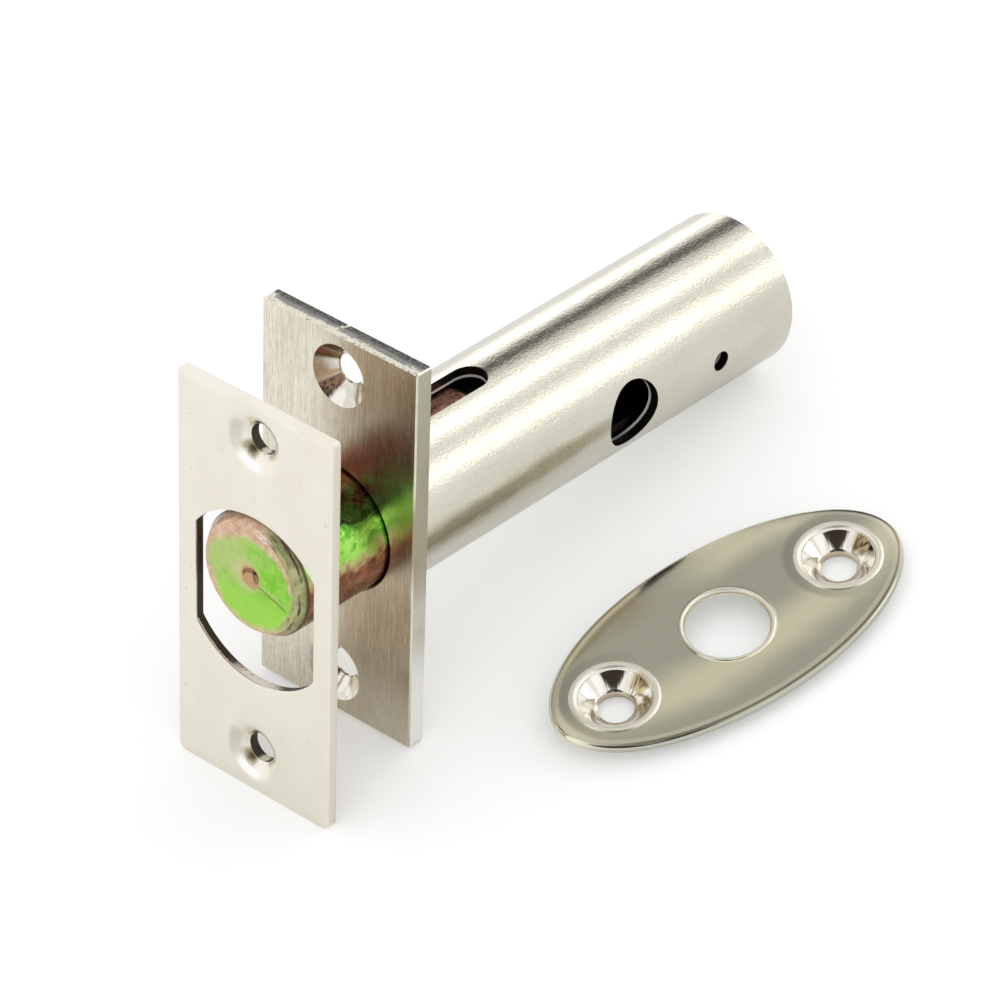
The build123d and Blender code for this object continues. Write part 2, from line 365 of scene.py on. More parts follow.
paler = (to_top_left + (blotch - 0.5) * 8 + (mottle - 0.5) * 3).step(-0.8, 3.4)
green = n.mix(green, (0.62, 0.62, 0.30), paler * 0.6)
copper = n.mix((0.66, 0.40, 0.26), (0.82, 0.60, 0.44), (mottle * 0.6 + speck * 0.4).step(0.38, 0.62))
end_colour = n.mix(green, copper, rim)

# %% Nub in the middle of the bolt's end, and the line across it
swirl_turn = n.degrees_round(pz, px)
halo = (radius + width * 0.35 + (mottle - 0.5) * 1.2).step(2.3, 0.8)
end_colour = n.mix(end_colour, (0.78, 0.60, 0.38), halo * 0.6)
nub = (radius + (speck - 0.5) * 0.7).step(1.32, 1.08)
end_colour = n.mix(end_colour, (0.58, 0.33, 0.20), nub * 0.9)
swirl = abs(radius - 0.66 - swirl_turn / 900 + (speck - 0.5) * 0.5).step(0.26, 0.08)
swirl = swirl * nub * (swirl_turn + 10).step(-50, 20)
end_colour = n.mix(end_colour, (0.27, 0.10, 0.06), swirl * 0.9)
below_line = height + width * 0.32 + 0.3 + (speck - 0.5) * 0.35
line_length = width.step(0.9, 1.2) * width.step(4.6, 4.1)
line = abs(below_line).step(0.24, 0.08) * line_length
end_colour = n.mix(end_colour, (0.24, 0.24, 0.06), line * 0.65)
bright_line = abs(below_line - 0.3).step(0.16, 0.05) * line_length
end_colour = n.mix(end_colour, (0.62, 0.66, 0.30), bright_line * 0.5)

# %% Chamfer of the bolt
turns = n.add("ShaderNodeCombineXYZ", None, {"X": swirl_turn / 22, "Y": radius / 0.25})
streaks = n.noise_at(turns, detail=2.0)
on_right = swirl_turn.step(84, 60) * swirl_turn.step(-66, -30)
olive = n.mix((0.48, 0.52, 0.24), (0.36, 0.34, 0.15), mottle.step(0.4, 0.6))
darker_up = (swirl_turn - 20) * 0.0016
bevel_right = n.mix((0.12, 0.075, 0.035), olive, (streaks - darker_up.clamp()).step(0.33, 0.42))
bevel = n.mix(copper, bevel_right, on_right)
bevel = n.mix(bevel, (0.36, 0.19, 0.12), swirl_turn.step(-30, -66) * 0.8)
bevel = n.mix(bevel, (0.14, 0.08, 0.045), radius.step(6.20, 6.36) * 0.9)
rim_wear_and_highlight = (radius + (speck - 0.5) * 0.6).step(5.0, 5.3) * on_right
end_colour = n.mix(end_colour, bevel_right, rim_wear_and_highlight * 0.9)
# Painted highlight: a pale glint on the end near the top of its rim.
glint = abs(radius - 5.3).step(0.6, 0.2) * abs(swirl_turn - 74).step(15, 4)
end_colour = n.mix(end_colour, (0.95, 0.86, 0.78), glint * speck.step(0.36, 0.56) * 0.75)
on_face = abs(ny).step(0.90, 0.97)
end_colour = n.mix(bevel, end_colour, on_face)

# %% Side of the bolt
round_way = n.degrees_round(pz, abs(px))
wander = round_way + (mottle - 0.5) * 30 + (blotch - 0.5) * 24
side_green = n.mix((0.11, 0.42, 0.045), (0.42, 0.80, 0.13), mottle.step(0.32, 0.60))
side_copper = n.mix((0.20, 0.07, 0.035), (0.40, 0.17, 0.09), mottle.step(0.3, 0.7))
side_copper = n.mix(side_copper, (0.55, 0.42, 0.33), round_way.step(-38, -58) * 0.6)
# Painted shade: towards the top, the side is painted dark brown with green blotches, with a red tint
# at the very top.
side_dark_painted_shade = n.mix((0.07, 0.045, 0.018), (0.20, 0.10, 0.05), speck.step(0.35, 0.65))
side_dark_painted_shade = n.mix(side_dark_painted_shade, (0.13, 0.30, 0.06), blotch.step(0.50, 0.60) * 0.9)
side_colour = n.mix(side_copper, (0.60, 0.50, 0.24), wander.step(3, 14))
side_colour = n.mix(side_colour, side_green, wander.step(9, 20))
side_colour = n.mix(side_colour, (0.02, 0.05, 0.01), abs(wander - 43).step(6, 1) * 0.9)
side_colour = n.mix(side_colour, side_dark_painted_shade, wander.step(38, 52))
side_colour = n.mix(side_colour, (0.30, 0.095, 0.06), wander.step(62, 80) * 0.8)
in_tube = way.step(-0.5, 0.5)
worn = (mottle * 0.5 + speck * 0.5).step(0.38, 0.60)
rubbed = n.mix((0.22, 0.085, 0.065), (0.55, 0.30, 0.24), worn)
side_colour = n.mix(side_colour, rubbed, in_tube)
at_nose = way.step(-12.3, -12.42)
colour = n.mix(side_colour, end_colour, at_nose)
# Painted shade: the rack's end, inside the tube, is near black.
tail_painted_shade = way.step(15.3, 15.5)
colour = n.mix(colour, (0.020, 0.020, 0.017), tail_painted_shade)
roughness = 0.19 + speck * 0.16 + tail_painted_shade * 0.1 + in_tube * 0.15
relief = speck * 0.25 + mottle * (1 - on_face) + streaks * on_right * 0.3
dull_bevel = 1 - at_nose * (1 - on_face) * 0.65
finish_metal(n, colour, roughness, relief, 0.045, metallic=dull_bevel)
dress(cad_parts["bolt"], passivated)

bare, n = new_material("bare_steel")
worn = n.noise((0.3, 0.3, 0.3))
finish_metal(n, n.mix((0.16, 0.15, 0.14), (0.34, 0.33, 0.31), worn), 0.3 + worn * 0.1)
for node in ("guide_peg", "friction_spring"):
    dress(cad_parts[node], bare)

# %% [markdown]
# Both thin plates are pressings: one sheet with holes, and screw dimples drawn down into it. The
# flat sheet comes first. Rings of points follow each hole and dimple, a grid fills the rest, and
# a constrained Delaunay triangulation joins them all, so the triangles are small where the
# pressing is steep and large where the sheet is flat.

# %% Flat sheets
ROW_STEP = 0.866  # height of a triangle whose sides are 1
MERGE_WITHIN = 1e-5  # mm


def circle(centre, radius, count):
    turns = [2 * pi * i / count for i in range(count)]
    return [(centre[0] + radius * cos(t), centre[1] + radius * sin(t)) for t in turns]


def fill_points(low, high, spacing):
    """Staggered grid over the box from low to high."""
    points = []
    row = 0
    y = low[1]
    while y < high[1]:
        x = low[0] + (spacing / 2 if row % 2 else 0)
        while x < high[0]:
            points.append((x, y))
            x += spacing
        y += spacing * ROW_STEP
        row += 1
    return points


def flat_sheet(name, loops, extra, inside, height):
    """Sheet bounded by loops, through extra points, lifted to height, in mm."""
    points = []
    edges = []
    for loop in loops:
        start = len(points)
        points += loop
        edges += [(start + i, start + (i + 1) % len(loop)) for i in range(len(loop))]
    points += [p for p in extra if inside(*p)]
    flat = [Vector(p) for p in points]
    verts, _, faces, *_ = delaunay_2d_cdt(flat, edges, [], 0, MERGE_WITHIN)
    kept = []
    for face in faces:
        middle = sum((verts[i] for i in face), Vector((0, 0))) / len(face)
        if inside(middle.x, middle.y):
            kept.append(list(face))
    mesh = bpy.data.meshes.new(name)
    mesh.from_pydata([(v.x * MM, v.y * MM, height(v.x, v.y) * MM) for v in verts], [], kept)
    obj = bpy.data.objects.new(name, mesh)
    scene.collection.objects.link(obj)
    build = bmesh.new()
    build.from_mesh(mesh)
    bmesh.ops.delete(build, geom=[v for v in build.verts if not v.link_faces], context="VERTS")
    bmesh.ops.reverse_faces(build, faces=[f for f in build.faces if f.normal.z < 0])
    build.to_mesh(mesh)
    build.free()
    print(name, "starts as", len(mesh.polygons), "triangles")
    return obj


# %% [markdown]
# The dimples follow a rule, so a Geometry Nodes tree presses them. Its inputs are the sizes of
# the punch. For every point it works out how far the nearer screw is, and lowers the point: over
# a soft roll at the ring, down a cone that steepens, then down the neck at the hole. The punch
# also raises a small lip at the ring, and makes the metal outside it sag, less further out.

# %% The punch
def realized(nodes, geometry, given):
    """The tree's end: real geometry with the finish that the tree was given."""
    whole = nodes.add("GeometryNodeRealizeInstances", None, {"Geometry": geometry})
    sockets = {"Geometry": whole, "Material": given.twin("Finish")}
    return nodes.add("GeometryNodeSetMaterial", None, sockets)


def punch_tree():
    tree = bpy.data.node_groups.new("screw_dimple_punch", "GeometryNodeTree")
    tree.interface.new_socket("Sheet", in_out="INPUT", socket_type="NodeSocketGeometry")
    lengths = ("Screws apart", "Ring", "Roll", "Throat", "Hole", "Neck depth")
    lip_lengths = ("Lip", "Lip width", "Sag", "Sag reach")
    for name in lengths + lip_lengths + ("Roll slope", "Cone slope"):
        tree.interface.new_socket(name, in_out="INPUT", socket_type="NodeSocketFloat")
    tree.interface.new_socket("Finish", in_out="INPUT", socket_type="NodeSocketMaterial")
    tree.interface.new_socket("Pressed", in_out="OUTPUT", socket_type="NodeSocketGeometry")
    g = Nodes(tree)
    given = g.add("NodeGroupInput")
    x, y, _ = g.xyz(g.add("GeometryNodeInputPosition"))
    aside = abs(x) - given.twin("Screws apart") * 0.5
    reach = (aside * aside + y * y) ** 0.5
    ring, roll, throat = given.twin("Ring"), given.twin("Roll"), given.twin("Throat")
    first, second = given.twin("Roll slope"), given.twin("Cone slope")
    start = given.twin("Sag") / given.twin("Sag reach")
    in_roll = ((ring - reach) / roll).clamp()
    cone = ring - roll - throat
    in_cone = ((ring - roll - reach) / cone).clamp()
    in_neck = ((throat - reach) / (throat - given.twin("Hole"))).clamp()
    outside = reach - ring
    beyond = outside.math("MAXIMUM", outside, 0.0)
    drop = given.twin("Sag") * (beyond / given.twin("Sag reach") * -1).exp()
    drop = drop + roll * in_roll * (start + (first - start) * in_roll * 0.5)
    drop = drop + cone * in_cone * (first + (second - first) * in_cone * 0.5)
    drop = drop + given.twin("Neck depth") * in_neck ** 0.7
    over_lip = outside / given.twin("Lip width")
    lip = given.twin("Lip") * (1 - over_lip * over_lip).clamp() ** 0.5
    move = g.add("ShaderNodeCombineXYZ", None, {"Z": lip - drop})
    sockets = {"Geometry": given.twin("Sheet"), "Offset": move}
    pressed = g.add("GeometryNodeSetPosition", None, sockets)
    g.add("NodeGroupOutput", None, {"Pressed": realized(g, pressed, given)})
    return tree


def give_tree(obj, tree, sizes):
    """Geometry Nodes modifier on obj, with the tree's inputs set by name."""
    modifier = obj.modifiers.new(tree.name, "NODES")
    modifier.node_group = tree
    for item in tree.interface.items_tree:
        if item.in_out == "INPUT" and item.name in sizes:
            modifier[item.identifier] = sizes[item.name]


SHARP_FROM = radians(42)
ROUND_FROM = radians(50)


def bake(obj, place):
    """Turns the evaluated piece into a plain mesh, smooth but for its edges, and places it."""
    bpy.context.view_layer.update()
    evaluated = obj.evaluated_get(bpy.context.evaluated_depsgraph_get())
    mesh = bpy.data.meshes.new_from_object(evaluated)
    obj.modifiers.clear()
    obj.data = mesh
    mesh.transform(place)
    for face in mesh.polygons:
        face.use_smooth = True
    mesh.set_sharp_from_angle(angle=SHARP_FROM)
    print(obj.name, "has", len(mesh.polygons), "faces")


def round_edges(obj, radius):
    rounded = obj.modifiers.new("edge", "BEVEL")
    rounded.width = radius * MM
    rounded.segments = 2
    rounded.limit_method = "ANGLE"
    rounded.angle_limit = ROUND_FROM


def thicken(obj, thickness, edge):
    """Solid wall below the sheet, with its edges broken."""
    wall = obj.modifiers.new("wall", "SOLIDIFY")
    wall.thickness = thickness * MM
    wall.offset = -1
    wall.use_even_offset = True
    round_edges(obj, edge)


punch = punch_tree()

# %% [markdown]
# The escutcheon is an oval of polished nickel-plated sheet. Its rim is turned down all round, a
# thin lip is rolled round the key's hole, and the two screw dimples are so deep that the plate
# stands on them, tipped onto one side of their feet. It lies on the table that the loose bolt
# leans on, whose tilt comes from the two places where the bolt touches it. Its colour changes
# across its width with painted light: a pale band along its length and paler towards the far
# edge, painted shade at one end, round the dimples and in their necks, painted highlights on the
# lips and inside the edge, and painted reflections in the dimples and along one side of the rim.

# %% The table that the loose set leans on
plate_low, plate_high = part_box("faceplate")
tube_low, tube_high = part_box("case_tube")
TABLE_TILT = atan2(tube_low[2] - plate_low[2], tube_high[1] - plate_high[1])
TABLE_TURN = Matrix.Rotation(TABLE_TILT, 4, "X")
TABLE = Matrix.Translation((0, plate_high[1], plate_low[2])) @ TABLE_TURN
table_up = (TABLE_TURN @ Vector((0, 0, 1))).normalized()
print("the table tilts by", round(TABLE_TILT * 180 / pi, 2), "degrees")

# %% Sizes and place of the escutcheon
OVAL = (40.0, 19.8)
OVAL_SHEET = 0.65
OVAL_RIM = 0.8
OVAL_EDGE = 0.42
OVAL_DOME = 0.20
DOME_WIDTH = 2.4
OVAL_TURN = radians(77.5)
OVAL_TIP = radians(4.3)
OVAL_PLACE = (25.8, 26.2, 2.644)
KEY_HOLE = 4.2
LIP = 0.2
LIP_WIDTH = 0.5
SCREW_AT = 13.5
RING = 3.95
THROAT = 2.1
SCREW_HOLE = 1.75
turned = Matrix.Rotation(OVAL_TURN, 4, "Z") @ Matrix.Rotation(OVAL_TIP, 4, "X")
lying = TABLE @ Matrix.Translation(Vector(OVAL_PLACE) * MM) @ turned
oval_middle = lying @ Vector((0, 0, 0))
oval_long = (lying.to_3x3() @ Vector((1, 0, 0))).normalized()
oval_short = (lying.to_3x3() @ Vector((0, 1, 0))).normalized()
print("middle of the oval:", [round(v / MM, 2) for v in oval_middle])

# %% Polished nickel for the escutcheon
polished, n = new_material("polished_nickel")
settings = {"operation": "SUBTRACT"}
from_middle = n.add("ShaderNodeVectorMath", settings, {0: n.place(), 1: oval_middle})
long_way = n.dot(from_middle, oval_long) / MM
short_way = n.dot(from_middle, oval_short) / MM
to_hole = (long_way * long_way + short_way * short_way) ** 0.5
screw_side = long_way - long_way.math("SIGN", long_way) * SCREW_AT
to_screw = (screw_side * screw_side + short_way * short_way) ** 0.5
cloud = n.noise((5.0, 5.0, 5.0), detail=2.0)
haze = n.noise((0.5, 0.5, 0.5), detail=3.0)
# Painted light and shade: a pale band along the plate, paler towards the far edge, and painted shade
# at one end.
wavy = short_way + (cloud - 0.5) * 2
middle = (long_way / 18) ** 2.0 * 3 - 4.2
painted_light_band = abs(wavy - middle).step(4.0, 0.2)
far_edge_painted_light = wavy.step(4.2, 7.0) * long_way.step(-3, 7)
colour = n.mix((0.54, 0.54, 0.46), (0.89, 0.865, 0.675), (painted_light_band + far_edge_painted_light).clamp())
shaded_end = wavy.step(5.2, 8.2) * (long_way * -1).step(2, 6)
colour = n.mix(colour, (0.48, 0.43, 0.31), shaded_end)

# %% Lips, dimples and rim of the escutcheon
# Painted shade: a grey ring round each dimple, darker on one side.
leftwards = (short_way * 0.5 - screw_side * 0.87) / to_screw
moat_painted_shade = abs(to_screw - 4.8).step(0.9, 0.2) * (leftwards * 0.6 + 0.4).clamp()
colour = n.mix(colour, (0.34, 0.34, 0.30), moat_painted_shade * 0.7)
# Painted highlight: the lips round the key's hole and round each dimple are painted pale cream.
on_lip = (abs(to_screw - RING).step(0.50, 0.30) + to_hole.step(4.56, 4.48)).clamp()
colour = n.mix(colour, (0.98, 0.95, 0.84), on_lip)
screw_turn = n.degrees_round(short_way, screw_side)
in_dimple = to_screw.step(3.62, 3.45)
facet_at = n.add("ShaderNodeCombineXYZ", None, {"X": screw_turn / 13, "Y": to_screw / 4})
facets = n.noise_at(facet_at, detail=1.0).step(0.42, 0.58)
colour = n.mix(colour, n.mix((0.80, 0.77, 0.70), (0.97, 0.94, 0.87), facets), in_dimple)
# Painted reflection: an olive-gold wedge on one side of each dimple's cone.
gold_painted_reflection = abs(screw_turn - 4).step(22, 14) * to_screw.step(2.35, 2.5) * in_dimple
colour = n.mix(colour, (0.55, 0.46, 0.22), gold_painted_reflection * 0.75)
# Painted shade: the neck of each dimple is a darker beige.
in_neck = to_screw.step(2.15, 1.95)
colour = n.mix(colour, (0.62, 0.54, 0.42), in_neck)
half_long, half_short = OVAL[0] / 2, OVAL[1] / 2
share = ((long_way / half_long) ** 2.0 + (short_way / half_short) ** 2.0) ** 0.5
steep = ((long_way / half_long**2) ** 2.0 + (short_way / half_short**2) ** 2.0) ** 0.5
from_rim = (1 - share) * share / steep
# Painted reflection: a dark line along one side of the rim. Painted highlight: a pale band inside
# the edge.
edge_painted_dark_line = abs(from_rim - 0.40).step(0.22, 0.06) * (long_way * 0.3 - short_way).step(-2, 2)
colour = n.mix(colour, (0.20, 0.16, 0.10), edge_painted_dark_line * 0.8)
edge_painted_highlight = abs(from_rim - 0.75).step(0.34, 0.10)
colour = n.mix(colour, (0.97, 0.94, 0.80), edge_painted_highlight * 0.4)
roughness = 0.13 + haze * 0.06 - in_dimple * 0.06 + on_lip * 0.22
relief = cloud * 0.8 + haze * 0.02 + facets * in_dimple * 0.12
finish_metal(n, colour, roughness, relief, 0.05)

# %% Sheet of the escutcheon
def oval_inset(t, inset):
    """Point of the oval at t, moved inwards by inset."""
    a, b = OVAL[0] / 2, OVAL[1] / 2
    normal = Vector((cos(t) / a, sin(t) / b)).normalized()
    return (a * cos(t) - normal.x * inset, b * sin(t) - normal.y * inset)


def oval_depth(x, y):
    """Roughly how far a point lies inside the oval's edge."""
    a, b = OVAL[0] / 2, OVAL[1] / 2
    share = hypot(x / a, y / b)
    slope = hypot(x / a**2, y / b**2) / max(share, 1e-6)
    return (1 - share) / max(slope, 1e-6)


def oval_height(x, y):
    inset = oval_depth(x, y)
    z = -OVAL_DOME * max(1 - inset / DOME_WIDTH, 0) ** 2
    if inset < OVAL_EDGE:
        z -= OVAL_EDGE - max(OVAL_EDGE**2 - (OVAL_EDGE - inset) ** 2, 0) ** 0.5
    over_lip = (hypot(x, y) - KEY_HOLE) / LIP_WIDTH * 2 - 1
    if over_lip < 1:
        z += LIP * max(1 - over_lip**2, 0) ** 0.5
    return z


def nearest_screw(x, y):
    return hypot(abs(x) - SCREW_AT, y)


def inside_oval(x, y):
    in_holes = hypot(x, y) < KEY_HOLE or nearest_screw(x, y) < SCREW_HOLE
    return not in_holes and hypot(x / OVAL[0], y / OVAL[1]) < 0.5


TURNS = [2 * pi * i / 220 for i in range(220)]
loops = [[oval_inset(t, 0) for t in TURNS], circle((0, 0), KEY_HOLE, 96)]
extra = []
for inset in (0.01, 0.03, 0.07, 0.13, 0.20, 0.30, OVAL_EDGE, 0.6, 0.85, 1.15):
    extra += [oval_inset(t, inset) for t in TURNS]
for out in (0.01, 0.04, 0.09, 0.16, 0.25, 0.34, 0.41, 0.46, 0.49, 0.5, 0.75):
    extra += circle((0, 0), KEY_HOLE + out, 96)
screw_rings = [1.80, 1.86, 1.93, 2.0, 2.05, THROAT, 2.2, 2.4, 2.65, 2.9, 3.15, 3.35, 3.45]
screw_rings += [3.51, 3.54, 3.60, 3.68, 3.77, 3.86, RING, 4.04, 4.13, 4.22, 4.30, 4.36, 4.39]
screw_rings += [4.45, 4.6, 4.85]
for side in (-1, 1):
    loops.append(circle((side * SCREW_AT, 0), SCREW_HOLE, 72))
    for ring in screw_rings:
        extra += circle((side * SCREW_AT, 0), ring, 72)
for x, y in fill_points((-20, -10), (20, 10), 0.55):
    if oval_depth(x, y) > 1.45 and hypot(x, y) > KEY_HOLE + 1.1 and nearest_screw(x, y) > 5.2:
        extra.append((x, y))

escutcheon = flat_sheet("escutcheon_shell", loops, extra, inside_oval, oval_height)

# %% Rim, eyelet, punch and wall of the escutcheon
def turn_down(obj, chosen, depth):
    """Draws the chosen part of the sheet's border straight down."""
    build = bmesh.new()
    build.from_mesh(obj.data)
    border = [e for e in build.edges if e.is_boundary and chosen(*(e.verts[0].co.xy / MM))]
    grown = bmesh.ops.extrude_edge_only(build, edges=border)["geom"]
    dropped = [g for g in grown if isinstance(g, bmesh.types.BMVert)]
    bmesh.ops.translate(build, verts=dropped, vec=(0, 0, -depth * MM))
    build.to_mesh(obj.data)
    build.free()


turn_down(escutcheon, lambda x, y: oval_depth(x, y) < 0.05, OVAL_RIM - OVAL_EDGE - OVAL_DOME)
turn_down(escutcheon, lambda x, y: hypot(x, y) < KEY_HOLE + 0.05, OVAL_SHEET)
oval_punch = {
    "Screws apart": 2 * SCREW_AT * MM,
    "Ring": RING * MM,
    "Roll": 0.50 * MM,
    "Throat": THROAT * MM,
    "Hole": SCREW_HOLE * MM,
    "Neck depth": 0.15 * MM,
    "Lip": 0.17 * MM,
    "Lip width": 0.42 * MM,
    "Sag": 0.18 * MM,
    "Sag reach": 1.8 * MM,
    "Roll slope": 0.85,
    "Cone slope": 1.15,
    "Finish": polished,
}
give_tree(escutcheon, punch, oval_punch)
thicken(escutcheon, OVAL_SHEET, 0.08)
bake(escutcheon, lying)
stand = min((TABLE.inverted() @ v.co).z for v in escutcheon.data.vertices)
print("the escutcheon's lowest point is", round(stand / MM, 3), "mm above the table")
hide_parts("escutcheon")
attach(escutcheon, "case")

# %% [markdown]
# The strike plate is satin. Its back is painted brown, less so at the lower end: painted shade,
# which darkens what the faceplate mirrors between the plates. Its hole is a circle with two flats,
# so that it stays inside the narrow plate, and its screw dimples are shallow and soft at the rim.
# It is made lying down, with its long side along X, and then stood up in front of the faceplate.

# %% Satin nickel for the strike plate
STRIKE = (43.2, 19.2)
STRIKE_SHEET = 1.0
STRIKE_HOLE = 9.25
STRIKE_FLAT = 7.45
STRIKE_SCREW_AT = 17.4
STRIKE_RING = 3.5
STRIKE_SCREW_HOLE = 1.55
strike_low, strike_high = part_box("strike_plate")
strike_middle = [(a + b) / 2 for a, b in zip(strike_low, strike_high)]
satin, n = new_material("satin_nickel")
nx, ny, nz = n.xyz(n.normal())
on_front = ny.step(-0.1, -0.3)
px, py, pz = n.xyz(n.place())
aside = (px - strike_middle[0]) / MM
across = abs(aside)
up = (pz - strike_middle[2]) / MM
cloud = n.noise((4.0, 4.0, 6.0), detail=3.0)
speck = n.noise((0.3, 0.3, 0.5), detail=3.0, roughness=0.6)
pit = n.noise((0.8, 0.8, 0.8), detail=2.0)
front = n.mix((0.90, 0.85, 0.74), (0.95, 0.905, 0.81), cloud.step(0.3, 0.7) * 0.7 + speck * 0.3)
front = n.mix(front, (0.60, 0.54, 0.44), pit.step(0.70, 0.76) * 0.4)
# Painted shade: the back is brown, paler towards the lower end.
back_painted_shade = n.mix((0.34, 0.235, 0.13), (0.46, 0.34, 0.21), cloud)
back_painted_shade = n.mix(back_painted_shade, (0.64, 0.54, 0.41), up.step(0, -9) * 0.8)

# %% Hole and edge of the strike plate
in_plate = across.step(9.3, 9.2) * abs(up).step(21.3, 21.2)
depth_in = (py - strike_low[1]) / MM
on_rim = 1 - abs(ny).step(0.25, 0.6)
on_wall = on_rim * depth_in.step(0.12, 0.2) * in_plate
on_edge = on_rim * (1 - in_plate)
# Painted shade: the hole's wall is near black. Painted light: it is pale where it faces straight up,
# and near the front where it faces upwards.
wall = n.mix((0.018, 0.016, 0.008), (0.075, 0.058, 0.034), speck)
wall = n.mix(wall, (0.95, 0.90, 0.78), (nz + (speck - 0.5) * 0.1).step(0.92, 1.0))
rim_wear_and_highlight = (depth_in + (speck - 0.5) * 0.3).step(0.30, 0.20) * nz.step(0.3, 0.6)
wall = n.mix(wall, (0.90, 0.87, 0.76), rim_wear_and_highlight)

# %% Dimples of the strike plate
to_screw = (across * across + (abs(up) - STRIKE_SCREW_AT) ** 2.0) ** 0.5
in_dimple = to_screw.step(3.4, 2.4) * on_front
over_screw = up - up.math("SIGN", up) * STRIKE_SCREW_AT
dimple_turn = n.degrees_round(over_screw, aside)
# Painted reflection: an olive-brown spot at the lower left of each dimple's hole. Painted highlight:
# a white crescent below it. Painted shade: a grey arc on the left.
dimple_painted_reflection = abs(dimple_turn + 132).step(38, 16) * to_screw.step(3.3, 3.0) * on_front
dimple_painted_reflection = dimple_painted_reflection * (to_screw + (speck - 0.5) * 0.9).step(2.6, 1.9)
front = n.mix(front, (0.26, 0.21, 0.09), dimple_painted_reflection * 0.9)
dimple_painted_highlight = abs(dimple_turn + 108).step(40, 18) * abs(to_screw - 2.7).step(0.5, 0.2)
front = n.mix(front, (1.0, 1.0, 1.0), dimple_painted_highlight * 0.9)
shade = abs(abs(dimple_turn) - 176).step(44, 18) * abs(to_screw - 2.7).step(0.8, 0.3)
front = n.mix(front, (0.56, 0.56, 0.46), shade * 0.6)
olive_cast = n.noise((5.0, 5.0, 9.0), detail=2.0).step(0.45, 0.70)
front = n.mix(front, (0.86, 0.87, 0.70), olive_cast * (up * -1).step(-4, 12) * 0.35)
# Painted shade: the side that faces +X is a little darker than the front.
front = n.mix(front, (0.80, 0.745, 0.64), nx.step(0.5, 0.9) * 0.7)
colour = n.mix(front, back_painted_shade, ny.step(0.3, 0.7))
colour = n.mix(colour, wall, on_wall)
roughness = 0.27 + speck * 0.12 - in_dimple * 0.06 + (on_edge + on_wall) * 0.25
worn_edge = 1 - on_edge * nz.step(0.6, 0.9) * 0.8 - on_wall * 0.85
finish_metal(n, colour, roughness, speck * 0.5 + cloud * 2, 0.012, metallic=worn_edge)

# %% Strike plate
TOP_CORNER = 0.45
LOW_CORNER = 0.9


def strike_screw(x, y):
    return hypot(abs(x) - STRIKE_SCREW_AT, y)


def inside_strike(x, y):
    in_hole = hypot(x, y) < STRIKE_HOLE and abs(y) < STRIKE_FLAT
    corner = TOP_CORNER if x > 0 else LOW_CORNER
    dx = max(abs(x) - (STRIKE[0] / 2 - corner), 0)
    dy = max(abs(y) - (STRIKE[1] / 2 - corner), 0)
    return not in_hole and strike_screw(x, y) > STRIKE_SCREW_HOLE and hypot(dx, dy) < corner


def rounded_rectangle(size, spacing):
    points = []
    for quarter, (sx, sy) in enumerate(((1, 1), (-1, 1), (-1, -1), (1, -1))):
        corner = TOP_CORNER if sx > 0 else LOW_CORNER
        centre = (sx * (size[0] / 2 - corner), sy * (size[1] / 2 - corner))
        for i in range(9):
            t = (quarter + i / 8) * pi / 2
            points.append((centre[0] + corner * cos(t), centre[1] + corner * sin(t)))
    dense = []
    for (x0, y0), (x1, y1) in zip(points, points[1:] + points[:1]):
        steps = max(int(hypot(x1 - x0, y1 - y0) / spacing), 1)
        for i in range(steps):
            dense.append((x0 + (x1 - x0) * i / steps, y0 + (y1 - y0) * i / steps))
    return dense


def flatted_hole():
    """Circle of the strike's hole, cut by its two flats."""
    half = asin(STRIKE_FLAT / STRIKE_HOLE)
    corner = STRIKE_HOLE * cos(half)
    points = []
    for side in (1, -1):
        for i in range(41):
            t = -half + 2 * half * i / 40
            points.append((side * STRIKE_HOLE * cos(t), side * STRIKE_HOLE * sin(t)))
        for i in range(1, 12):
            points.append((side * (corner - 2 * corner * i / 12), side * STRIKE_FLAT))
    return points


strike_rings = [1.6, 1.7, 1.8, 1.95, 2.1, 2.3, 2.5, 2.7, 2.9, 3.1, 3.3, STRIKE_RING, 3.9, 4.6]
loops = [rounded_rectangle(STRIKE, 1.0), flatted_hole()]
extra = []
for side in (-1, 1):
    loops.append(circle((side * STRIKE_SCREW_AT, 0), STRIKE_SCREW_HOLE, 60))
    for ring in strike_rings:
        extra += circle((side * STRIKE_SCREW_AT, 0), ring, 60)
for x, y in fill_points((-21, -9), (21, 9), 1.0):
    if strike_screw(x, y) > 5.2:
        extra.append((x, y))

strike = flat_sheet("strike_sheet", loops, extra, inside_strike, lambda x, y: 0)

# %% Slab, punch and place of the strike plate
build = bmesh.new()
build.from_mesh(strike.data)
slab = bmesh.ops.extrude_face_region(build, geom=build.faces[:], use_keep_orig=True)["geom"]
lowered = [g for g in slab if isinstance(g, bmesh.types.BMVert)]
bmesh.ops.translate(build, verts=lowered, vec=(0, 0, -STRIKE_SHEET * MM))
bmesh.ops.recalc_face_normals(build, faces=build.faces[:])
build.to_mesh(strike.data)
build.free()
strike_punch = {
    "Screws apart": 2 * STRIKE_SCREW_AT * MM,
    "Ring": STRIKE_RING * MM,
    "Roll": 1.05 * MM,
    "Throat": (STRIKE_SCREW_HOLE + 0.02) * MM,
    "Hole": STRIKE_SCREW_HOLE * MM,
    "Neck depth": 0.0,
    "Lip": 0.0,
    "Lip width": 1.0 * MM,
    "Sag": 0.03 * MM,
    "Sag reach": 0.8 * MM,
    "Roll slope": 0.66,
    "Cone slope": 1.1,
    "Finish": satin,
}
give_tree(strike, punch, strike_punch)
round_edges(strike, 0.08)
upright = Matrix(((0, -1, 0), (0, 0, -1), (1, 0, 0))).to_4x4()
bake(strike, Matrix.Translation((strike_middle[0], strike_low[1], strike_middle[2])) @ upright)
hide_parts("strike_plate")
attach(strike, "case")

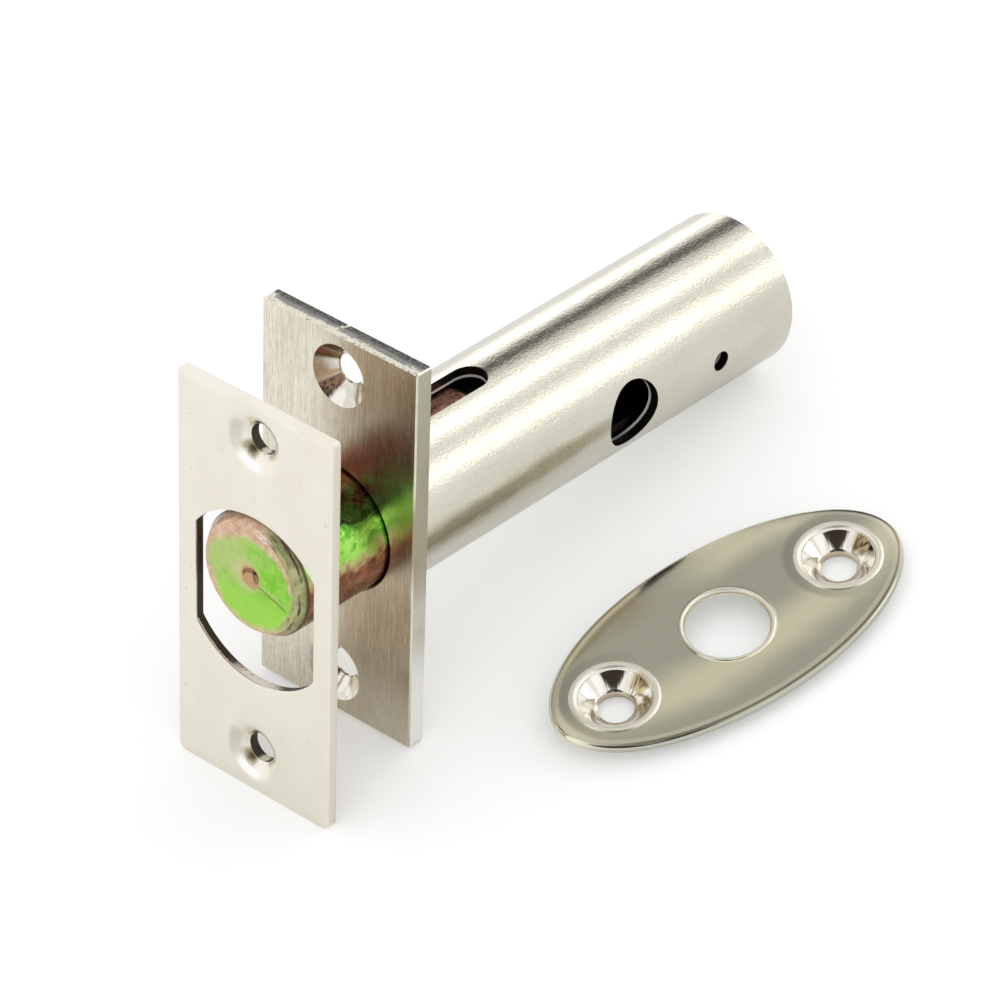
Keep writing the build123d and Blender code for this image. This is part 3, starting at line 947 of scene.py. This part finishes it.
# %% [markdown]
# The shear left burrs along the front of the faceplate's top edge, and they sparkle. They repeat
# along a line, so Geometry Nodes scatter them: a line of points, each moved and scaled at random
# with a fixed seed, and a small flattened stone at each. Most of every burr is sunk in the plate.

# %% Burrs on the sheared edge
def burr_tree():
    tree = bpy.data.node_groups.new("shear_burrs", "GeometryNodeTree")
    tree.interface.new_socket("Base", in_out="INPUT", socket_type="NodeSocketGeometry")
    tree.interface.new_socket("Count", in_out="INPUT", socket_type="NodeSocketInt")
    for name in ("Width", "Size", "Scatter"):
        tree.interface.new_socket(name, in_out="INPUT", socket_type="NodeSocketFloat")
    tree.interface.new_socket("Finish", in_out="INPUT", socket_type="NodeSocketMaterial")
    tree.interface.new_socket("Burrs", in_out="OUTPUT", socket_type="NodeSocketGeometry")
    g = Nodes(tree)
    given = g.add("NodeGroupInput")
    count = given.twin("Count")
    start = g.add("ShaderNodeCombineXYZ", None, {"X": given.twin("Width") * -0.5})
    step = g.add("ShaderNodeCombineXYZ", None, {"X": given.twin("Width") / (count - 1)})
    line_sockets = {"Count": count, "Start Location": start, "Offset": step}
    line = g.add("GeometryNodeMeshLine", None, line_sockets)
    spread = given.twin("Scatter")
    random_kind = {"data_type": "FLOAT_VECTOR"}
    shift_range = {0: (-1, -1, -1), 1: (1, 1, 1), "Seed": 5}
    shift = g.add("FunctionNodeRandomValue", random_kind, shift_range)
    scaled = g.add("ShaderNodeVectorMath", {"operation": "SCALE"}, {0: shift, "Scale": spread})
    moved = g.add("GeometryNodeSetPosition", None, {"Geometry": line, "Offset": scaled})
    stone_sockets = {"Radius": given.twin("Size"), "Subdivisions": 2}
    stone = g.add("GeometryNodeMeshIcoSphere", None, stone_sockets)
    turn_range = {0: (-0.5, -0.5, -0.5), 1: (0.5, 0.5, 0.5), "Seed": 7}
    turn = g.add("FunctionNodeRandomValue", random_kind, turn_range)
    size_range = {0: (0.5, 0.3, 0.3), 1: (2.6, 0.9, 0.8), "Seed": 9}
    size = g.add("FunctionNodeRandomValue", random_kind, size_range)
    sockets = {"Points": moved, "Instance": stone, "Rotation": turn, "Scale": size}
    burrs = g.add("GeometryNodeInstanceOnPoints", None, sockets)
    g.add("NodeGroupOutput", None, {"Burrs": realized(g, burrs, given)})
    return tree


burred, n = new_material("bright_burr")
glint = n.noise((0.3, 0.3, 0.3))
colour = n.mix((0.55, 0.52, 0.46), (0.92, 0.89, 0.82), glint.step(0.35, 0.6))
finish_metal(n, colour, 0.2 + glint * 0.2)
burrs = bpy.data.objects.new("shear_burrs", bpy.data.meshes.new("shear_burrs"))
scene.collection.objects.link(burrs)
BURR = 0.12 * MM
BURR_SCATTER = 0.09 * MM
burr_sizes = {
    "Count": 64,
    "Width": plate_high[0] - plate_low[0] - 0.4 * MM,
    "Size": BURR,
    "Scatter": BURR_SCATTER,
    "Finish": burred,
}
give_tree(burrs, burr_tree(), burr_sizes)
bake(burrs, Matrix.Translation((0, plate_low[1] + BURR, plate_high[2] - BURR_SCATTER)))
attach(burrs, "case")

# %% [markdown]
# The set lies on a white table in a bright room. The table is a small pale sheet, which glows a
# little for the camera, so that it reads as white and its shadows stay. The white around it is
# the world, which the camera sees as plain white. Metal is only as good as what it reflects, so
# the room has parts: a dark gap between the light panels at the back, which draws the dark stripe
# along the tube, a dim ceiling, which greys the escutcheon, and the dark behind the photographer,
# which shows in every screw dimple, with two small lamps in it.

# %% Table
TABLE_HALF = 0.13
TABLE_SHIFT = 0.012
SEAT_GAP = 0.00003
table_mesh = bpy.data.meshes.new("table")
corners = []
for x, y in ((-1, -1), (1, -1), (1, 1), (-1, 1)):
    corners.append((x * TABLE_HALF + TABLE_SHIFT, y * TABLE_HALF + TABLE_SHIFT, -SEAT_GAP))
table_mesh.from_pydata(corners, [], [(0, 1, 2, 3)])
table_mesh.transform(TABLE)
table = bpy.data.objects.new("table", table_mesh)
scene.collection.objects.link(table)

pale, n = new_material("pale_table")
ray = n.add("ShaderNodeLightPath", out="Is Camera Ray")
seen = (ray + ray.twin("Is Transmission Ray")).clamp() * 0.28 + ray.twin("Is Glossy Ray") * 0.12
own = n.add("ShaderNodeEmission", None, {"Color": (1.0, 1.0, 1.0), "Strength": seen})
matt = n.add("ShaderNodeBsdfDiffuse", None, {"Color": (0.775, 0.785, 0.78)})
both = n.add("ShaderNodeAddShader", None, {0: own, 1: matt})
n.add("ShaderNodeOutputMaterial", None, {"Surface": both})
dress(table, pale)

# %% World
GAP_AT = 130.0
CEILING_AT = (-0.26, 0.26, 0.93)
world = bpy.data.worlds.new("studio")
scene.world = world
world.use_nodes = True
n = Nodes(world.node_tree)
direction = n.add("ShaderNodeTexCoord", out="Generated")
dx, dy, dz = n.xyz(direction)
around = n.add("ShaderNodeMath", {"operation": "ARCTAN2"}, {0: dz, 1: dx}) * (180 / pi)
gap = abs(around - GAP_AT).step(17, 7) * dy.step(0.36, 0.5)
ceiling = n.dot(direction, CEILING_AT).step(cos(radians(50)), cos(radians(6))) * dy.step(0.52, 0.38)
level_front = (to_camera - table_up * to_camera.dot(table_up)).normalized()


def studio_direction(height, aside):
    """Direction that many degrees above the table, and aside from the camera."""
    flat = level_front * cos(radians(aside)) + table_up.cross(level_front) * sin(radians(aside))
    return flat * cos(radians(height)) + table_up * sin(radians(height))


def lamp_spot(height, aside, size):
    middle = n.dot(direction, studio_direction(height, aside))
    return middle.step(cos(radians(size + 1)), cos(radians(size)))


photographer = n.dot(direction, studio_direction(54, 0)).step(cos(radians(30)), cos(radians(24)))
lamps = (lamp_spot(71, 14, 4.5) + lamp_spot(54, 13, 3.5)).clamp()
room = n.mix((1.0, 1.0, 1.0), (0.60, 0.58, 0.53), ceiling)
room = n.mix(room, (0.10, 0.10, 0.09), gap)
room = n.mix(room, (0.035, 0.025, 0.018), photographer)
room = n.mix(room, (1.0, 1.0, 1.0), lamps)
mirrored = n.add("ShaderNodeLightPath", out="Is Glossy Ray")
colour = n.mix((1.0, 1.0, 1.0), room, mirrored)
background = n.add("ShaderNodeBackground", None, {"Color": colour, "Strength": 1.0})
n.add("ShaderNodeOutputWorld", None, {"Surface": background})

# %% Softboxes
LIGHT_AIM = Vector((5, 20, 0)) * MM
LIGHT_DISTANCE = 0.7
PANEL_ALONG = 0.628  # along the tube, as far as the camera's direction leans the other way
PANEL_ACROSS = 0.778


def softbox(name, turn, size, radiance):
    """Square light that the tube mirrors lengthwise, with the brightness of its face."""
    side = radians(turn)
    towards = Vector((cos(side) * PANEL_ACROSS, PANEL_ALONG, sin(side) * PANEL_ACROSS))
    data = bpy.data.lights.new(name, "AREA")
    data.size = size * MM
    data.energy = radiance * pi * (size * MM) ** 2
    lamp = bpy.data.objects.new(name, data)
    lamp.location = LIGHT_AIM + towards.normalized() * LIGHT_DISTANCE
    lamp.rotation_euler = (LIGHT_AIM - lamp.location).to_track_quat("-Z", "Y").to_euler()
    scene.collection.objects.link(lamp)


softbox("overhead_softbox", 86, 190, 1.05)
softbox("right_softbox", 37, 245, 0.86)
softbox("left_softbox", 162, 190, 0.92)
